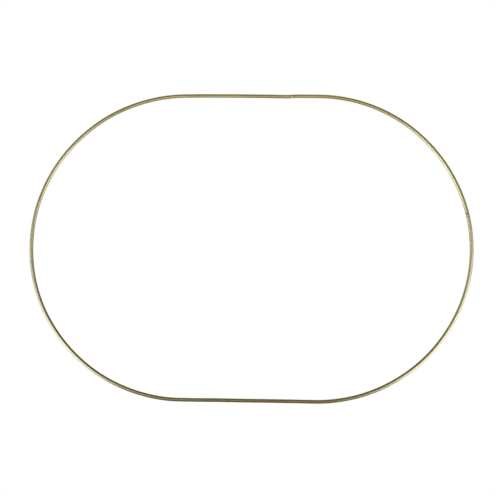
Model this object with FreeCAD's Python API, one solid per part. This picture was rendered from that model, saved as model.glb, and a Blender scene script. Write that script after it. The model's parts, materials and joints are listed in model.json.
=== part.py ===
import FreeCAD, Part
import math
import os

# Obround wire hoop, used as a wreath frame.
#
# One length of round wire is bent in a single plane into two parallel straights
# joined by two half circles. Its cut ends meet on the top straight, right of
# centre, in an upset butt weld.
#
# Frame (millimetres): the hoop stands upright in the XZ plane, +Z up, long axis
# along X, front towards -Y. The origin is the middle of the hoop's box. The wire
# is followed clockwise as seen from the front, starting at the weld.

V = FreeCAD.Vector

# ---- driving dimensions ----
HOOP_WIDTH = 360.0      # over the outside of the wire, along X
HOOP_HEIGHT = 250.0     # over the outside of the wire, along Z
WIRE_D = 3.0

WELD_X = 32.8           # middle of the weld
WELD_LEN = 2.4          # gap between the wire's ends, along X
END_STEP = 0.27         # the left wire end sits this much below the right one
SPRUNG_LEN = 46.0       # stretch along X over which the left end droops to that
COLLAR_D = 3.16         # widest diameter of the weld's collar

# Shares of the weld's length, from the left wire end to the right one
WELD_STATIONS = [0.0, 0.14, 0.32, 0.50, 0.68, 0.86, 1.0]

# ---- derived dimensions ----
WIRE_R = WIRE_D / 2
COLLAR_SWELL = COLLAR_D / 2 - WIRE_R                 # growth in radius at the middle
COLLAR_SAG = COLLAR_SWELL                            # keeps the hoop's outside flush
BEND_R = (HOOP_HEIGHT - WIRE_D) / 2                  # to the wire's centreline
HALF_STRAIGHT = (HOOP_WIDTH - HOOP_HEIGHT) / 2
WELD_LEFT = WELD_X - WELD_LEN / 2
WELD_RIGHT = WELD_X + WELD_LEN / 2

# The sprung arc leaves the straight tangentially and drops END_STEP in SPRUNG_LEN
SPRUNG_R = (SPRUNG_LEN ** 2 + END_STEP ** 2) / (2 * END_STEP)
SPRUNG_ANGLE = math.degrees(math.asin(SPRUNG_LEN / SPRUNG_R))

# ("run", length) or ("bend", centreline radius, clockwise angle in degrees)
BEND_TABLE = [
    ("run", HALF_STRAIGHT - WELD_RIGHT),
    ("bend", BEND_R, 180.0),
    ("run", 2 * HALF_STRAIGHT),
    ("bend", BEND_R, 180.0),
    ("run", HALF_STRAIGHT + WELD_LEFT - SPRUNG_LEN),
    ("bend", SPRUNG_R, SPRUNG_ANGLE),
]

WIRE_START = V(WELD_RIGHT, 0, BEND_R)
START_DIRECTION = V(1, 0, 0)
BEND_AXIS = V(0, 1, 0)      # turns +Z into +X, clockwise seen from the front


def circle_wire(radius, centre, normal):
    return Part.Wire([Part.makeCircle(radius, centre, normal)])


def follow(table, start, direction):
    """Bend the wire along the table.

    Returns its segments as solids, and the point and direction it ends at.
    """
    here, ahead, segments = start, direction, []
    for kind, *sizes in table:
        if kind == "run":
            length, = sizes
            segments.append(Part.makeCylinder(WIRE_R, length, here, ahead))
            here = here + ahead * length
        else:
            radius, angle = sizes
            # The centre lies to the right of the way ahead, seen from the front
            centre = here + V(ahead.z, 0, -ahead.x) * radius
            section = Part.Face(circle_wire(WIRE_R, here, ahead))
            segments.append(section.revolve(centre, BEND_AXIS, angle))
            turn = FreeCAD.Rotation(BEND_AXIS, angle)
            here = centre + turn.multVec(here - centre)
            ahead = turn.multVec(ahead)
    return segments, here, ahead


def make_wire_hoop(segments):
    """The bent wire as one solid, open only at the weld."""
    fused = segments[0].multiFuse(segments[1:])
    return fused.removeSplitter().Solids[0]


def make_butt_weld(left_end, left_direction):
    """Nugget lofted between the wire's end faces, swelling to a low collar."""
    sections = []
    for along in WELD_STATIONS:
        swell = 1 - (2 * along - 1) ** 2      # 0 at the wire, 1 midway
        centre = left_end * (1 - along) + WIRE_START * along
        centre = centre - V(0, 0, COLLAR_SAG * swell)
        normal = left_direction * (1 - along) + START_DIRECTION * along
        radius = WIRE_R + COLLAR_SWELL * swell
        sections.append(circle_wire(radius, centre, normal.normalize()))
    return Part.makeLoft(sections, True, False).Solids[0]


wire_segments, wire_end, end_direction = follow(BEND_TABLE, WIRE_START, START_DIRECTION)
pieces = {
    "wire_hoop": make_wire_hoop(wire_segments),
    "butt_weld": make_butt_weld(wire_end, end_direction),
}

os.makedirs("parts", exist_ok=True)
for name, shape in pieces.items():
    shape.exportStep("parts/" + name + ".step")
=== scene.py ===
"""An obround hoop of round wire, brass plated, its two ends butt-welded on the top straight.

The hoop stands upright in the XZ plane, centred on the origin, its front towards -Y and its
long side along X.  Shapes are worked out in millimetres and written to meshes in metres.
Stage, lights and camera are in metres.
"""
import json
import math

import bpy
import numpy as np
from mathutils import Matrix, Vector

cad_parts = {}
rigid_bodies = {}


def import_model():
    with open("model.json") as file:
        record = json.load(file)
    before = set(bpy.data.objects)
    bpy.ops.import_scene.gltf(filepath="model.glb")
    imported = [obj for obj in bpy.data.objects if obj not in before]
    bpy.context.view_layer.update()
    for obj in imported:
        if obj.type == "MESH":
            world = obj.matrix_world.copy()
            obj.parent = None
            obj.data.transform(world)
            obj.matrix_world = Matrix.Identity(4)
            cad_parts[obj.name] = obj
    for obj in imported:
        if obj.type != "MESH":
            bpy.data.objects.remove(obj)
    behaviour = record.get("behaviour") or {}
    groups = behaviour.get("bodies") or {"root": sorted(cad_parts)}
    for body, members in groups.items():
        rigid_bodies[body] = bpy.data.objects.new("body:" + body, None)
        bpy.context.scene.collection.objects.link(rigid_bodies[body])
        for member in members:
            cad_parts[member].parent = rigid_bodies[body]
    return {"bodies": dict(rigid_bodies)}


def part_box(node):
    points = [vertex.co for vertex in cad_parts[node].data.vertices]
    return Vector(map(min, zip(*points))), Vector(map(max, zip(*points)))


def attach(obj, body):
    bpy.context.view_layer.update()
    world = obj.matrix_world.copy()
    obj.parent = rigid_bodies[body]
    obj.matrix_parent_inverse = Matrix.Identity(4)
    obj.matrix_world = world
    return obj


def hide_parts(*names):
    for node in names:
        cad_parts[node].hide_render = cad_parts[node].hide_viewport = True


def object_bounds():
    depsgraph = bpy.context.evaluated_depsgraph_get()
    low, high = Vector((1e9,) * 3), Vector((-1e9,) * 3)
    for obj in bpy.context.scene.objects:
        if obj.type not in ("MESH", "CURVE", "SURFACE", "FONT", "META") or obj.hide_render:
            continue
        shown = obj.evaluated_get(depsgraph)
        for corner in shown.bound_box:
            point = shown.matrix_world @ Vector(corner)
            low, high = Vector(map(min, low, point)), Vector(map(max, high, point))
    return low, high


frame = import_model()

cad_lo, cad_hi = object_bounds()          # the CAD model's box, before anything is added

# ---------------------------------------------------------------------------
# Sizes, mm
# ---------------------------------------------------------------------------
MM = 0.001                            # metres in a millimetre
HALF_WIDTH = 180.0                    # the hoop's outside, along X
HALF_HEIGHT = 125.0                   # the hoop's outside, along Z
WIRE_R = 1.5
BEND_R = HALF_HEIGHT - WIRE_R         # centreline radius of the two end bends
HALF_RUN = HALF_WIDTH - HALF_HEIGHT   # half a straight run
WELD_LEFT, WELD_RIGHT = 31.6, 34.0    # the wire's end faces, along X
WELD_LEN = WELD_RIGHT - WELD_LEFT
END_STEP = 0.27                       # how far the left end curves down to the weld
SPRUNG_LEN = 46.0                     # the run over which it does so

# the CAD pieces have these same sizes
hoop_lo, hoop_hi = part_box("wire_hoop")
weld_lo, weld_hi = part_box("butt_weld")
assert abs((hoop_hi.x - hoop_lo.x) / MM - 2 * HALF_WIDTH) < 0.3
assert abs((hoop_hi.z - hoop_lo.z) / MM - 2 * HALF_HEIGHT) < 0.3
assert abs(weld_hi.x / MM - WELD_RIGHT) < 0.1
assert abs(weld_lo.x / MM - WELD_LEFT) < 0.1

SPRUNG_R = (SPRUNG_LEN ** 2 + END_STEP ** 2) / (2 * END_STEP)
SPRUNG_ANGLE = math.asin(SPRUNG_LEN / SPRUNG_R)

# Clockwise seen from the front, from the weld's right face:
# (length along the wire, centreline radius or None on a straight)
BENDS = [
    (HALF_RUN - WELD_RIGHT, None),
    (math.pi * BEND_R, BEND_R),
    (2 * HALF_RUN, None),
    (math.pi * BEND_R, BEND_R),
    (HALF_RUN + WELD_LEFT - SPRUNG_LEN, None),
    (SPRUNG_R * SPRUNG_ANGLE, SPRUNG_R),
]
LENGTH = sum(length for length, radius in BENDS)

# Roll forming leaves the wire a little off its line.  Outward departure of the
# centreline, in tenths of a millimetre, at equal steps from the weld's right
# face round to its left face.
WANDER = np.array([
    3.0, 1.7, 0.6, -0.4, -1.2, -1.4, -2.7, -2.4, -2.0, -0.5, 1.0, 1.6, 1.8, 1.1, 0.1, -0.8,
    -0.2, -1.2, -1.0, -0.3, -0.2, 0.8, 0.4, 0.6, 1.6, 1.3, 3.1, 2.3, -1.0, -2.7, -2.7, -2.9,
    -2.3, -0.6, 2.2, 3.1, 2.6, 2.1, 1.8, -0.1, -1.7, -3.4, -4.2, -3.3, -3.0, -1.4, 2.1, 5.5,
    5.5, 4.4, 3.0, 1.5])
WANDER_UNIT = 0.1
END_LEAN = 0.14                       # how far the right end leans in at the weld
END_LEAN_LEN = 2.2
# sway to the back and front: (height, waves round the hoop, phase in turns)
SWAY = [(0.08, 2, 0.11), (0.05, 3, 0.62)]

# Painted light and shade, for how the light falls: the plating is made a little lighter along the
# top and darker along the bottom; change from the middle to the top and to the right-hand edge.
PAINTED_LIGHT_Z = 0.325
PAINTED_LIGHT_X = 0.09


# ---------------------------------------------------------------------------
# Centreline.  "arc" is the length along the wire from the weld's right face.
# ---------------------------------------------------------------------------

def nominal(arc):
    """x, z and heading of the wire's intended centreline."""
    x, z, heading = np.empty_like(arc), np.empty_like(arc), np.empty_like(arc)
    start_x, start_z, start_heading, start = WELD_RIGHT, BEND_R, 0.0, 0.0
    for length, radius in BENDS:
        here = arc >= start - 1e-9            # later sections write over the rest
        run = arc[here] - start
        if radius is None:
            cos, sin = math.cos(start_heading), math.sin(start_heading)
            x[here] = start_x + run * cos
            z[here] = start_z + run * sin
            heading[here] = start_heading
            start_x += length * cos
            start_z += length * sin
        else:
            centre_x = start_x + radius * math.sin(start_heading)
            centre_z = start_z - radius * math.cos(start_heading)
            turned = start_heading - run / radius
            x[here] = centre_x - radius * np.sin(turned)
            z[here] = centre_z + radius * np.cos(turned)
            heading[here] = turned
            start_heading -= length / radius
            start_x = centre_x - radius * math.sin(start_heading)
            start_z = centre_z + radius * math.cos(start_heading)
        start += length
    return x, z, heading


def wander(share):
    """Catmull-Rom through WANDER at share 0..1 of the length, neighbours wrapping round."""
    last = len(WANDER) - 1
    place = np.clip(share, 0, 1) * last
    i = np.minimum(place.astype(int), last - 1)
    f = place - i

    def value(k):
        return WANDER[np.where(k < 0, k + last, np.where(k > last, k - last, k))]

    p0, p1, p2, p3 = value(i - 1), value(i), value(i + 1), value(i + 2)
    return 0.5 * (2 * p1 + (p2 - p0) * f + (2 * p0 - 5 * p1 + 4 * p2 - p3) * f ** 2
                  + (3 * p1 - p0 - 3 * p2 + p3) * f ** 3)


def centreline(arc):
    """Points (n, 3) of the as-made centreline."""
    x, z, heading = nominal(arc)
    share = arc / LENGTH
    outward = WANDER_UNIT * wander(share)
    outward = outward - END_LEAN * np.exp(-(arc / END_LEAN_LEN) ** 2)
    # left of the heading is outwards, because the wire is followed clockwise
    x = x - outward * np.sin(heading)
    z = z + outward * np.cos(heading)
    y = sum(height * np.sin(2 * math.pi * (waves * share + phase))
            for height, waves, phase in SWAY)
    return np.stack([x, y, z], 1)


def unit(vectors):
    return vectors / np.linalg.norm(vectors, axis=1)[:, None]


def frames(arc):
    """Centreline points and the unit outward and forward directions there."""
    reach = 0.05
    tangent = unit(centreline(np.minimum(arc + reach, LENGTH))
                   - centreline(np.maximum(arc - reach, 0)))
    out = unit(np.cross([0.0, -1.0, 0.0], tangent))
    return centreline(arc), out, np.cross(tangent, out)


# painted light and shade: above 1 towards the top and right, below 1 towards the bottom
def painted_light_at(arc):
    points = centreline(arc)
    return 1.0 + PAINTED_LIGHT_Z * points[:, 2] / HALF_HEIGHT + PAINTED_LIGHT_X * points[:, 0] / HALF_WIDTH


def find_arc(x, z):
    """Arc length of the centreline point nearest to (x, z)."""
    arc = np.linspace(0, LENGTH, 20001)
    points = centreline(arc)
    return float(arc[np.argmin((points[:, 0] - x) ** 2 + (points[:, 2] - z) ** 2)])


def stations(spans, coarse=1.25, growth=0.18, shortest=0.03):
    """Arc lengths from 0 to LENGTH, coarse but near spans of (middle, half width, step)."""
    arc, here = [0.0], 0.0
    while here < LENGTH - 1e-6:
        step = coarse
        for middle, half, fine in spans:
            gap = max(0.0, abs(here + step / 2 - middle) - half)
            step = min(step, fine + gap * growth)
        here = min(LENGTH, here + step)
        arc.append(here)
    if arc[-1] - arc[-2] < shortest:
        arc.pop(-2)
    return np.array(arc)


# ---------------------------------------------------------------------------
# Marks of making and handling, as real dents in the surface.
# Angle 0 is the hoop's outside, 90 degrees its front, 180 its inside.
# ---------------------------------------------------------------------------
NICK_ARC = find_arc(175.28, 28.42)    # plating rack's contact nick, right-hand bend
# small pits on the inside: (arc, angle in degrees, radius, depth)
PITS = [
    (find_arc(177.1, -19.0), 172, 0.34, 0.10),
    (find_arc(175.4, -25.9), 150, 0.42, 0.12),
]
ROLLER_FLATS = 26


def bell(x, half, power=2.0):
    """1 at x = 0, falling off at about half on either side; flatter topped at higher powers."""
    return np.exp(-np.abs(x / half) ** power)


def turn_from(angle, centre):
    """Angle in radians, within half a turn, from centre, which is in degrees."""
    return (angle - math.radians(centre) + math.pi) % (2 * math.pi) - math.pi


def bump_at(angle, centre, half, power=2.0):
    """Bell round the wire, centre and half in degrees."""
    return bell(turn_from(angle, centre), math.radians(half), power)


def hash2(i, j, seed):
    value = math.sin(i * 127.1 + j * 311.7 + seed * 74.7) * 43758.5453
    return value - math.floor(value)


def dents(arc, angle):
    """Depth of the marks below the round surface, how dark they are and how rubbed, 0 to 1."""
    past = arc - NICK_ARC
    # the nick: a short saddle pressed across the front and inside of the wire
    nick = bell(past, 0.85, power=3.0) * bump_at(angle, centre=140, half=52, power=2.5)
    depth = 0.13 * nick * (1 + 0.12 * np.sin(5 * angle + 7 * past))
    mark = (0.85 * bell(past + 0.15, 0.85, power=3.0)
            * bump_at(angle, centre=140, half=58, power=2.5))
    # metal it pushed up just past itself, and the fine crease beyond that
    ridge = bell(past - 1.30, 0.40) * bump_at(angle, centre=92, half=30)
    depth -= 0.040 * ridge
    rubbed = 0.45 * ridge
    crease = bell(past - 2.60, 0.45) * bump_at(angle, centre=112, half=38)
    depth += 0.030 * crease
    mark += 0.75 * crease
    for pit_arc, pit_angle, radius, pit_depth in PITS:
        turn = turn_from(angle, pit_angle)
        spread = ((arc - pit_arc) / radius) ** 2 + (turn * WIRE_R / radius) ** 2
        depth += pit_depth * np.exp(-spread ** 1.5)
        mark += np.exp(-spread ** 1.2)
        depth -= 0.018 * bell(np.sqrt(spread) - 1.5, 0.35)        # raised lip
    # faint witness of the former's rollers: long shallow flats
    for k in range(ROLLER_FLATS):
        middle = (k + 0.3 + 0.4 * hash2(k, 1, seed=3)) * LENGTH / ROLLER_FLATS
        centre = 360 * hash2(k, 2, seed=5)
        half_len = 3 + 9 * hash2(k, 3, seed=7)
        depth += 0.012 * bell(arc - middle, half_len) * bump_at(angle, centre, half=29)
    return depth, np.clip(mark, 0, 1), np.clip(rubbed, 0, 1)


def filed_and_glint_at(share, angle):
    """How far a file has bared the metal, at share weld lengths from the weld's left face; the
    paler patch on the front is also a painted highlight of the weld's glint.
    """
    patch = bell(share - 0.78, 0.32, power=2.6)
    return patch * np.maximum(bump_at(angle, centre=92, half=42, power=3.0),
                              0.8 * bump_at(angle, centre=262, half=48, power=3.0))


# ---------------------------------------------------------------------------
# Meshes
# ---------------------------------------------------------------------------
AROUND = 56                           # points round the wire
ANGLES = np.arange(AROUND) / AROUND * 2 * math.pi


def add_cap_middles(values):
    """Values (points, k) with the means of the first and last rings added."""
    return np.vstack([values, values[:AROUND].mean(0), values[-AROUND:].mean(0)])


def tube_object(name, middles, out, front, radius, angle, along, point_values):
    """A closed tube with flat ends round the middles.

    radius, angle and along (the place on the straightened wire) are (rings, AROUND);
    point_values maps an attribute's name to values that fit the same shape.
    """
    count = len(middles)
    cos, sin = np.cos(angle)[..., None], np.sin(angle)[..., None]
    rings = middles[:, None, :] + radius[..., None] * (cos * out[:, None, :]
                                                       + sin * front[:, None, :])
    verts = add_cap_middles(rings.reshape(-1, 3) * MM)
    i, j = np.meshgrid(np.arange(count - 1), np.arange(AROUND), indexing="ij")
    k = (j + 1) % AROUND
    quads = np.stack([i * AROUND + j, (i + 1) * AROUND + j,
                      (i + 1) * AROUND + k, i * AROUND + k], -1).reshape(-1, 4).tolist()
    # each end is a fan round a middle point
    last_ring = (count - 1) * AROUND
    first_middle = count * AROUND
    caps = []
    for j in range(AROUND):
        k = (j + 1) % AROUND
        caps.append((first_middle, j, k))
        caps.append((first_middle + 1, last_ring + k, last_ring + j))
    mesh = bpy.data.meshes.new(name)
    mesh.from_pydata(verts.tolist(), [], quads + caps)
    mesh.update()
    smooth = np.ones(len(mesh.polygons), bool)
    smooth[len(quads):] = False
    mesh.polygons.foreach_set("use_smooth", smooth)
    for edge in mesh.edges:
        for base in (0, last_ring):
            if all(base <= v < base + AROUND for v in edge.vertices):
                edge.use_edge_sharp = True

    straight = np.stack([radius * np.cos(angle), radius * np.sin(angle), along], -1)
    place = mesh.attributes.new("wire_pos", "FLOAT_VECTOR", "POINT")
    values = add_cap_middles(straight.reshape(-1, 3))
    place.data.foreach_set("vector", values.astype(np.float32).ravel())
    for key, values in point_values.items():
        values = add_cap_middles(np.broadcast_to(values, angle.shape).reshape(-1, 1))
        attribute = mesh.attributes.new(key, "FLOAT", "POINT")
        attribute.data.foreach_set("value", values.astype(np.float32).ravel())
    mesh.flip_normals()               # the faces above are wound inwards
    tube = bpy.data.objects.new(name, mesh)
    bpy.context.scene.collection.objects.link(tube)
    return tube


def build_wire():
    fine, end_step = 0.09, 0.15
    spans = [(NICK_ARC + 0.6, 2.0, fine)]
    spans += [(pit[0], 0.7, fine) for pit in PITS]
    spans += [(0.0, 1.0, end_step), (LENGTH, 1.0, end_step)]
    arc = stations(spans)
    middles, out, front = frames(arc)
    along, angle = np.meshgrid(arc, ANGLES, indexing="ij")
    depth, mark, rubbed = dents(along, angle)
    # slightly and slowly turning out-of-round, as drawn wire is
    radius = WIRE_R - depth + 0.006 * np.cos(2 * angle + along * 0.013)
    # exactly round at the two end faces, where the weld takes over
    from_end = np.clip(np.minimum(along, LENGTH - along) / 3.0, 0, 1)
    radius = WIRE_R + (radius - WIRE_R) * from_end
    heat_len = 5.0
    return tube_object("wire_hoop_surface", middles, out, front, radius, angle, along, {
        "mark": mark,
        # painted light and shade along the hoop, lighter at the top, darker at the bottom
        "painted_light": painted_light_at(arc)[:, None],
        "heat": np.exp(-along / heat_len) + np.exp(-(LENGTH - along) / heat_len),
        # rubbed ridge by the nick, and the weld's filed patch: paler metal, on the front also a
        # painted highlight
        "rubbed_filed_and_glint": rubbed + filed_and_glint_at(1 + along / WELD_LEN, angle),
    })


def bead_height(angle):
    """Height of the upset bead, fullest at the front and back, more inside than outside."""
    return 0.02 + 0.065 * np.sin(angle) ** 2 + 0.035 * (0.5 - 0.5 * np.cos(angle))


# where a file took the bead down: (angle in degrees, depth below the bead)
FACETS = [(18, 0.012), (52, 0.030), (142, 0.020), (228, 0.030), (318, 0.030)]


def weld_surface(share, angle):
    """Radius and darkness of the weld, at share 0..1 from its left face to its right."""
    # crest a little right of the middle: slow rise from the left, quicker fall to the right
    swell = np.clip(1 - (2 * share ** 1.12 - 1) ** 2, 0, 1)
    inside = 0.5 - 0.5 * np.cos(angle)               # 1 on the hoop's inside, 0 outside
    lobes = 1 + 0.10 * np.sin(3 * angle + 0.7) + 0.07 * np.sin(5 * angle + 2.0 + 3 * share)
    radius = WIRE_R + swell * bead_height(angle) * lobes
    # the joint's seam, a shallow uneven crease round the left of the bead
    seam = 0.30 + 0.03 * np.sin(2 * angle + 0.4) + 0.02 * np.sin(7 * angle)
    crease = bell(share - seam, 0.05) * (0.3 + 0.7 * inside)
    radius = radius - 0.022 * crease
    # squeezed metal: fine ripples that follow the seam
    radius = radius + 0.004 * np.sin((share - seam) * 46) * swell * (0.2 + 0.8 * inside)
    for centre, depth in FACETS:
        rise = WIRE_R + bead_height(math.radians(centre)) - depth
        facing = np.cos(angle - math.radians(centre))
        flat = rise / np.maximum(facing, 0.35)
        filed = (facing > 0.90) & (radius > flat)
        radius = np.where(filed, 0.8 * flat + 0.2 * radius, radius)
    # down to the wire's own radius at both faces
    edge = np.clip(np.minimum(share, 1 - share) / 0.09, 0, 1)
    edge = edge * edge * (3 - 2 * edge)
    return WIRE_R + (radius - WIRE_R) * edge, 0.30 * crease


def build_weld():
    steps = np.linspace(0, 1, 61)
    middles, out, front = frames(np.array([0.0, LENGTH]))     # the right face, then the left

    def across(ends, share):
        return ends[1] * (1 - share)[:, None] + ends[0] * share[:, None]

    line = across(middles, steps * steps * (3 - 2 * steps))
    line[:, 0] = middles[1, 0] + (middles[0, 0] - middles[1, 0]) * steps
    share, angle = np.meshgrid(steps, ANGLES, indexing="ij")
    radius, mark = weld_surface(share, angle)
    return tube_object(
        "butt_weld_surface", line, unit(across(out, steps)), unit(across(front, steps)),
        radius, angle, (share - 1) * WELD_LEN, {
            "mark": mark,
            # painted light and shade, as at the weld's place on the top straight
            "painted_light": painted_light_at(np.array([0.0]))[0],
            "heat": 1.0,
            # filed patch: paler metal, on the front also a painted highlight
            "rubbed_filed_and_glint": filed_and_glint_at(share, angle),
        })


wire = build_wire()
weld = build_weld()


# ---------------------------------------------------------------------------
# Materials
# ---------------------------------------------------------------------------

class Nodes:
    """Writes the node tree of a material or world, starting from an empty one."""

    def __init__(self, owner):
        owner.use_nodes = True
        self.tree = owner.node_tree
        self.tree.nodes.clear()

    def add(self, kind, inputs=None, **settings):
        node = self.tree.nodes.new(kind)
        for key, value in settings.items():
            setattr(node, key, value)
        for key, value in (inputs or {}).items():
            self.put(node.inputs[key], value)
        return node

    def put(self, socket, value):
        """Link value to socket if it is an output, or set it there."""
        if hasattr(value, "links"):
            self.tree.links.new(value, socket)
        else:
            socket.default_value = value

    def math(self, operation, a, b, clamp=False):
        node = self.add("ShaderNodeMath", {0: a, 1: b}, operation=operation, use_clamp=clamp)
        return node.outputs[0]

    def times(self, a, b):
        return self.math("MULTIPLY", a, b)

    def plus(self, base, field, amount, clamp=False):
        """base + field * amount"""
        return self.math("ADD", base, self.times(field, amount), clamp)

    def scaled(self, a, b):
        """Product of two vectors, part by part."""
        return self.add("ShaderNodeVectorMath", {0: a, 1: b}, operation="MULTIPLY").outputs[0]

    def noise(self, place, scale, detail, rough):
        inputs = {"Vector": place, "Scale": scale, "Detail": detail, "Roughness": rough}
        return self.add("ShaderNodeTexNoise", inputs).outputs["Fac"]

    def mix(self, factor, a, b):
        inputs = {"Factor": factor, 6: a, 7: b}
        return self.add("ShaderNodeMix", inputs, data_type="RGBA").outputs[2]

    def tint(self, base, colour, field, share):
        """base taken towards colour by field * share."""
        return self.mix(self.times(field, share), base, colour)

    def smooth(self, value, start, end):
        """0 at start, 1 at end."""
        inputs = {"Value": value, "From Min": start, "From Max": end}
        node = self.add("ShaderNodeMapRange", inputs, interpolation_type="SMOOTHSTEP")
        return node.outputs["Result"]


BRASS = (0.665, 0.615, 0.350, 1)
BRASS_PALE = (0.725, 0.683, 0.418, 1)
BRASS_DEEP = (0.585, 0.525, 0.277, 1)
TARNISH = (0.150, 0.120, 0.062, 1)
RUBBED = (0.775, 0.740, 0.500, 1)
HEATED = (0.60, 0.43, 0.20, 1)
# paler filed metal, and on the weld's front also a painted highlight
FILED_AND_GLINT = (0.86, 0.82, 0.56, 1)
ROUGH_LOW, ROUGH_HIGH = 0.33, 0.39
PAINTED_LIGHT_POWERS = (1.0, 1.08, 1.20)       # per channel, so the painted shade at the bottom is also yellower and the painted light at the top paler
# thin clear lacquer over solid metal
LACQUERED_METAL = {"Metallic": 1.0, "Coat Weight": 1.0, "Coat Roughness": 0.22, "Coat IOR": 1.45}


def plated(name):
    """Satin brass plating, laid out in millimetres of the straightened wire."""
    material = bpy.data.materials.new(name)
    N = Nodes(material)
    output = N.add("ShaderNodeOutputMaterial")
    bsdf = N.add("ShaderNodeBsdfPrincipled")
    N.put(output.inputs[0], bsdf.outputs[0])

    def attribute(key, kind="Fac"):
        return N.add("ShaderNodeAttribute", attribute_name=key).outputs[kind]

    def along(squeeze):
        return N.scaled(place, (1.0, 1.0, squeeze))

    place = attribute("wire_pos", "Vector")
    mark, heat, painted_light, rubbed_filed_and_glint = map(attribute, ("mark", "heat", "painted_light", "rubbed_filed_and_glint"))

    # plating tone, tens of mm long; millimetre blotches; satin grain; die lines along the wire
    cloud = N.noise(along(0.06), scale=0.55, detail=3.0, rough=0.55)
    blotch = N.noise(along(0.6), scale=0.9, detail=2.0, rough=0.5)
    grain = N.noise(place, scale=9.0, detail=3.0, rough=0.6)
    lines = N.noise(along(0.012), scale=7.5, detail=4.0, rough=0.62)
    fine_lines = N.noise(along(0.010), scale=19.0, detail=2.0, rough=0.5)
    scuffs = N.noise(N.scaled(place, (1.4, 1.0, 0.45)), scale=1.3, detail=4.0, rough=0.65)

    # colour: cloudy pale brass, deeper in the die lines, tarnished in blotches
    colour = N.mix(N.smooth(cloud, 0.32, 0.68), BRASS_DEEP, BRASS_PALE)
    colour = N.mix(0.45, colour, BRASS)
    colour = N.tint(colour, BRASS_DEEP, N.smooth(lines, 0.42, 0.30), share=0.30)
    colour = N.tint(colour, TARNISH, N.smooth(blotch, 0.62, 0.76), share=0.22)
    # rubbed crests, front and back, where hoops lie on one another: paler, smoother
    parts = N.add("ShaderNodeSeparateXYZ", {0: place})
    crest = N.smooth(N.add("ShaderNodeMath", {0: parts.outputs[1]},
                           operation="ABSOLUTE").outputs[0], 1.30, 1.50)
    rub = N.times(crest, N.smooth(scuffs, 0.50, 0.66))
    colour = N.tint(colour, RUBBED, rub, share=0.30)
    # painted light and shade: lighter towards the top and the right, darker towards the bottom
    painted_light_rgb = N.add("ShaderNodeCombineXYZ")
    for k, power in enumerate(PAINTED_LIGHT_POWERS):
        N.put(painted_light_rgb.inputs[k], N.math("POWER", painted_light, power))
    colour = N.scaled(colour, painted_light_rgb.outputs[0])
    # warm tint of the weld's heat; paler filed or squeezed metal, the filed patch on the weld's
    # front also a painted highlight; dark marks
    colour = N.tint(colour, HEATED, heat, share=0.10)
    colour = N.tint(colour, FILED_AND_GLINT, rubbed_filed_and_glint, share=0.55)
    dark = N.math("MULTIPLY", mark, N.plus(0.72, grain, amount=0.4), clamp=True)
    colour = N.mix(dark, colour, TARNISH)

    cloudy = {"Factor": N.smooth(cloud, 0.3, 0.7), 2: ROUGH_LOW, 3: ROUGH_HIGH}
    rough = N.add("ShaderNodeMix", cloudy, data_type="FLOAT").outputs[0]
    rough = N.plus(rough, N.math("SUBTRACT", grain, 0.5), amount=0.10)
    rough = N.math("SUBTRACT", rough, N.times(rub, 0.05))
    rough = N.plus(rough, mark, amount=0.20)
    rough = N.plus(rough, rubbed_filed_and_glint, amount=0.08)
    rough = N.plus(rough, heat, amount=0.05, clamp=True)

    # relief, mm: die lines, satin grain, scuffs, and file marks across the weld
    relief = N.times(lines, 0.005)
    relief = N.plus(relief, fine_lines, amount=0.0015)
    relief = N.plus(relief, grain, amount=0.0006)
    relief = N.plus(relief, N.times(scuffs, crest), amount=0.002)
    files = N.noise(N.scaled(place, (1.2, 1.2, 14.0)), scale=1.6, detail=3.0, rough=0.6)
    relief = N.plus(relief, files, amount=N.times(N.smooth(heat, 0.80, 1.0), 0.010))
    bump = N.add("ShaderNodeBump", {"Strength": 1.0, "Distance": MM, "Height": relief})

    surface = {"Base Color": colour, "Roughness": rough, "Normal": bump.outputs[0]}
    for key, value in {**surface, **LACQUERED_METAL}.items():
        N.put(bsdf.inputs[key], value)
    return material


wire.data.materials.append(plated("satin_plated_wire"))
weld.data.materials.append(plated("satin_plated_weld"))

for piece, node, slot in ((wire, "wire_hoop", "plated_wire"), (weld, "butt_weld", "plated_weld")):
    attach(piece, "root" if "root" in frame["bodies"] else list(frame["bodies"])[0])
    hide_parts(node)

# ---------------------------------------------------------------------------
# Stage, metres: a pale floor well below the hoop, soft boxes, white surround
# ---------------------------------------------------------------------------
ROOM_COLOUR = (1.0, 0.775, 0.25, 1)   # a dim warm room, seen only in reflections
ROOM_STRENGTH = 0.186
FLOOR_Z = -0.75
FLOOR_HALF = 30.0
FLOOR_COLOUR = (0.85, 0.85, 0.85, 1)

scene = bpy.context.scene
scene.view_settings.view_transform = "Standard"
scene.view_settings.look = "None"
scene.view_settings.exposure = 0.0
scene.view_settings.gamma = 1.0
centre = (cad_lo + cad_hi) / 2


def build_world():
    """White to the camera, the dim room to everything else."""
    world = bpy.data.worlds.new("studio")
    scene.world = world
    N = Nodes(world)
    output = N.add("ShaderNodeOutputWorld")
    white = N.add("ShaderNodeBackground", {"Color": (1, 1, 1, 1), "Strength": 1.0})
    room = N.add("ShaderNodeBackground", {"Color": ROOM_COLOUR, "Strength": ROOM_STRENGTH},
                 name="ambient")
    seen = N.add("ShaderNodeLightPath").outputs["Is Camera Ray"]
    mixed = N.add("ShaderNodeMixShader", {0: seen, 1: room.outputs[0], 2: white.outputs[0]})
    N.put(output.inputs[0], mixed.outputs[0])


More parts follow.
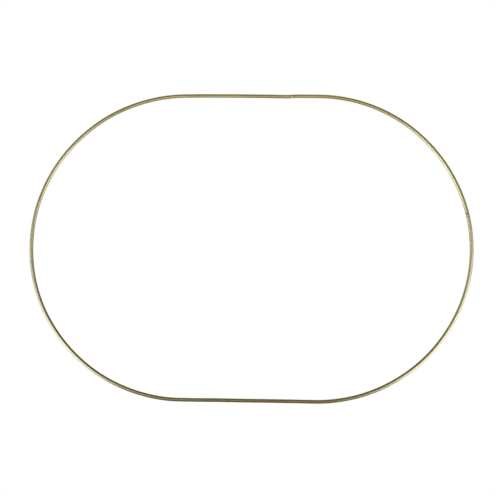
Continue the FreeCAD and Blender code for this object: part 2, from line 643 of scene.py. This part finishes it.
def floor_material():
    material = bpy.data.materials.new("pale_floor")
    N = Nodes(material)
    output = N.add("ShaderNodeOutputMaterial")
    matt = N.add("ShaderNodeBsdfDiffuse", {"Color": FLOOR_COLOUR})
    white = N.add("ShaderNodeEmission", {"Strength": 1.0})
    seen = N.add("ShaderNodeLightPath").outputs["Is Camera Ray"]
    top = N.add("ShaderNodeMixShader", {0: seen, 1: matt.outputs[0], 2: white.outputs[0]})
    # seen from underneath it lets the hoop show through
    below = N.add("ShaderNodeNewGeometry").outputs["Backfacing"]
    clear = N.add("ShaderNodeBsdfTransparent")
    sides = N.add("ShaderNodeMixShader", {0: below, 1: top.outputs[0], 2: clear.outputs[0]})
    N.put(output.inputs[0], sides.outputs[0])
    return material


def build_floor():
    mesh = bpy.data.meshes.new("floor")
    corners = [(x * FLOOR_HALF, y * FLOOR_HALF, FLOOR_Z)
               for x, y in ((-1, -1), (1, -1), (1, 1), (-1, 1))]
    mesh.from_pydata(corners, [], [(0, 1, 2, 3)])
    floor = bpy.data.objects.new("floor", mesh)
    scene.collection.objects.link(floor)
    mesh.materials.append(floor_material())
    floor.visible_glossy = False
    floor.visible_diffuse = False
    floor.visible_shadow = False


build_world()
build_floor()

# Soft boxes round the hoop, each facing its middle.  Off: degrees away from the
# line to the front (90 is in the hoop's plane, past it is behind).  Clock:
# degrees clockwise from straight up, as seen from the front.
DAYLIGHT = (1.0, 1.078, 1.21)
SIDE_DIST, SIDE_SIZE = 0.50, 0.18
# (side, off, clock, brightness), all at SIDE_DIST and of SIDE_SIZE
SIDE_BOXES = [
    ("right", 40, 131, 0.97), ("right", 60, 98, 1.22), ("right", 60, 121, 1.41),
    ("right", 60, 144, 1.60), ("right", 80, 90, 1.05), ("right", 80, 110, 1.89),
    ("right", 80, 130, 2.48), ("right", 100, 110, 0.76), ("right", 100, 130, 1.25),
    ("left", 40, 229, 1.30), ("left", 40, 260, 0.73), ("left", 60, 239, 2.95),
    ("left", 60, 262, 1.22), ("left", 80, 230, 2.33), ("left", 80, 250, 1.59),
    ("left", 80, 270, 0.85), ("left", 100, 230, 0.70), ("left", 100, 250, 0.53),
    ("left", 100, 270, 0.14),
]
# (name, off, clock, distance, size, brightness)
OTHER_BOXES = [
    ("fill_front", 10, 200, 0.80, 0.30, 0.43),
    ("fill_right", 24, 85, 0.60, 0.22, 0.92),
    ("fill_left", 24, 262, 0.60, 0.22, 0.66),
    ("top_side", 80, 0, 0.50, 0.28, 0.06),
    ("top_back", 115, 0, 0.80, 0.50, 0.28),
    ("back_left", 115, 298, 0.80, 0.50, 0.42),
    ("back_low", 150, 180, 0.80, 0.50, 0.63),
]


def soft_box(name, off, clock, distance, size, brightness):
    light = bpy.data.lights.new(name, "AREA")
    light.shape = "SQUARE"
    light.size = size
    light.energy = brightness * math.pi * size * size     # brightness is the box's radiance
    light.color = DAYLIGHT
    box = bpy.data.objects.new(name, light)
    off, clock = math.radians(off), math.radians(clock)
    towards = Vector((math.sin(off) * math.sin(clock), -math.cos(off),
                      math.sin(off) * math.cos(clock)))
    box.location = centre + towards * distance
    box.rotation_mode = "QUATERNION"
    box.rotation_quaternion = towards.to_track_quat("Z", "Y")
    scene.collection.objects.link(box)
    box.visible_camera = False


for side, off, clock, brightness in SIDE_BOXES:
    soft_box(f"{side}_{off}_{clock}", off, clock, SIDE_DIST, SIDE_SIZE, brightness)
for row in OTHER_BOXES:
    soft_box(*row)

# ---- camera: in front of the hoop, looking at its middle from a little below ----
CAMERA_DIST = 0.900
PAN, TILT, ROLL = math.radians(-3.865), math.radians(4.714), math.radians(0.823)
LENS, SENSOR = 80.635206, 36.0        # mm
SHIFT_X, SHIFT_Y = -0.0014112903, -0.0023185484


def build_camera():
    camera_data = bpy.data.cameras.new("camera")
    camera = bpy.data.objects.new("camera", camera_data)
    scene.collection.objects.link(camera)
    scene.camera = camera
    forward = Vector((math.sin(PAN) * math.cos(TILT), math.cos(PAN) * math.cos(TILT),
                      math.sin(TILT)))
    level = forward.cross(Vector((0, 0, 1))).normalized()
    upright = level.cross(forward)
    right = level * math.cos(ROLL) + upright * math.sin(ROLL)
    up = -level * math.sin(ROLL) + upright * math.cos(ROLL)
    turn = Matrix((right, up, -forward)).transposed()
    camera.matrix_world = (Matrix.Translation(centre - forward * CAMERA_DIST)
                           @ turn.to_4x4())
    camera_data.sensor_width = SENSOR
    camera_data.lens = LENS
    camera_data.shift_x = SHIFT_X
    camera_data.shift_y = SHIFT_Y
    camera_data.clip_start = 0.01
    camera_data.clip_end = 200.0


build_camera()
